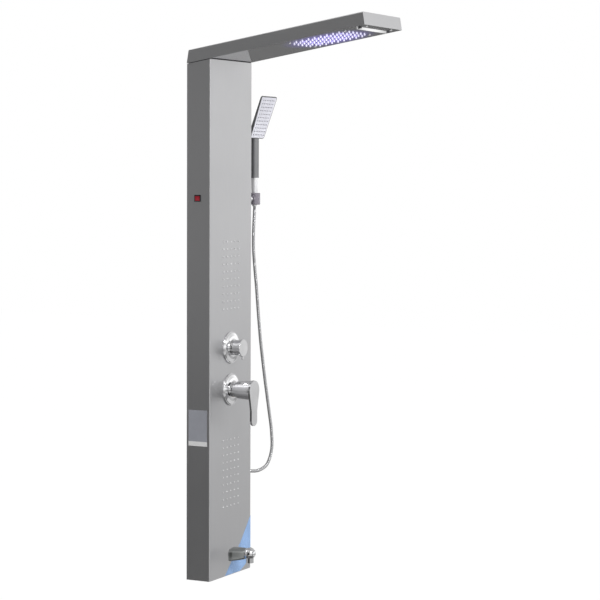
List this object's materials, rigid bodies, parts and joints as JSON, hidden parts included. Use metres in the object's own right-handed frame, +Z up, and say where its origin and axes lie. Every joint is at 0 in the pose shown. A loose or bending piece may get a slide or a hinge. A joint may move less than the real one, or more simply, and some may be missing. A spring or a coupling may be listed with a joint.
{
  "type": "shower panel column",
  "caption": "Wall-hung stainless shower panel with a raised rain and waterfall arm, body jets, diverter, lever mixer, bath spout and a handset on a ribbed hose.",
  "frame": {"origin": "middle of the column's lower rear edge, in the plane of the wall", "axes": "+X to the right as one faces the panel, +Y into the wall, +Z up"},
  "size_m": [0.3589, 0.45, 1.3],
  "materials": {
    "steel_brushed": "brushed stainless steel",
    "steel_polished": "polished stainless steel",
    "steel_plain": "plain steel",
    "chrome": "polished chrome",
    "grey_metal": "satin grey",
    "pale_metal": "satin silver grey",
    "brass": "machined",
    "silicone": "soft pale silicone",
    "grey_rubber": "soft grey",
    "white_plastic": "gloss",
    "light_guide": "clear with a violet light behind it",
    "black_plastic": "matte",
    "red_plastic": "gloss",
    "circuit_board": "satin",
    "tube": "matte",
    "hose_metal": "silver, ribbed",
    "handset_grey": "dark grey"
  },
  "bodies": {
    "panel": {"column_shell": "steel_brushed", "bottom_plate": "steel_brushed", "arm_shell": "steel_brushed", "arm_underside": "steel_polished", "arm_coupling": "steel_plain", "wall_brackets": "steel_plain", "hanger_bars": "steel_plain", "rain_nozzles": "silicone", "rain_chamber": "white_plastic", "led_lenses": "light_guide", "led_board": "circuit_board", "waterfall_chute": "steel_plain", "head_screws": "steel_plain", "jet_nozzles_upper": "silicone", "jet_nozzles_lower": "silicone", "jet_chamber_upper": "white_plastic", "jet_chamber_lower": "white_plastic", "chamber_studs": "steel_plain", "chamber_nuts": "steel_plain", "diverter_valve": "brass", "diverter_flange": "chrome", "diverter_nut": "brass", "mixer_valve": "brass", "mixer_flange": "chrome", "mixer_neck": "chrome", "mixer_cartridge": "white_plastic", "spout_body": "grey_metal", "spout_end": "chrome", "spout_aerator": "chrome", "spout_nut": "brass", "switch_housing": "black_plastic", "led_driver": "black_plastic", "led_cable": "black_plastic", "feed_pipe": "tube", "rain_pipe": "tube", "waterfall_pipe": "tube", "jet_pipes": "tube", "spout_pipe": "tube", "handset_pipe": "tube", "hose_outlet": "chrome", "side_nuts": "brass", "hose_nut_lower": "chrome", "hose": "hose_metal", "holder_base": "chrome"},
    "diverter_handle": {"diverter_spindle": "brass", "diverter_knob": "grey_metal", "diverter_peg": "chrome"},
    "mixer_turn": {"mixer_carrier": "white_plastic", "mixer_pin": "steel_plain"},
    "mixer_handle": {"mixer_lever": "pale_metal", "mixer_stem": "brass", "lever_screw": "steel_plain"},
    "rocker": {"switch_rocker": "red_plastic"},
    "cradle": {"holder_cradle": "handset_grey"},
    "handset": {"handset_shell": "handset_grey", "handset_face": "white_plastic", "handset_nozzles": "grey_rubber", "handset_handle": "handset_grey", "handset_cone": "chrome"}
  },
  "joints": [
    {"name": "diverter_turn", "type": "hinge", "parent": "panel", "child": "diverter_handle", "pos_m": [0, -0.09, 0.5375], "axis": [0, -1, 0], "continuous": true},
    {"name": "mixer_temperature", "type": "hinge", "parent": "panel", "child": "mixer_turn", "pos_m": [0, -0.0835, 0.439], "axis": [0, 1, 0], "range_deg": [-45, 45]},
    {"name": "mixer_lift", "type": "hinge", "parent": "mixer_turn", "child": "mixer_handle", "pos_m": [0, -0.0835, 0.439], "axis": [-1, 0, 0], "range_deg": [0, 20]},
    {"name": "switch_rock", "type": "hinge", "parent": "panel", "child": "rocker", "pos_m": [-0.0992, -0.0294, 0.887], "axis": [0, 1, 0], "range_deg": [0, 16]},
    {"name": "cradle_tilt", "type": "hinge", "parent": "panel", "child": "cradle", "pos_m": [0.142, -0.0475, 0.884], "axis": [1, 0, 0], "range_deg": [-10, 35], "deforming": ["hose"]},
    {"name": "handset_lift", "type": "slide", "parent": "cradle", "child": "handset", "axis": [0, 0, 1], "range_m": [0, 0.12], "deforming": ["hose"]}
  ]
}
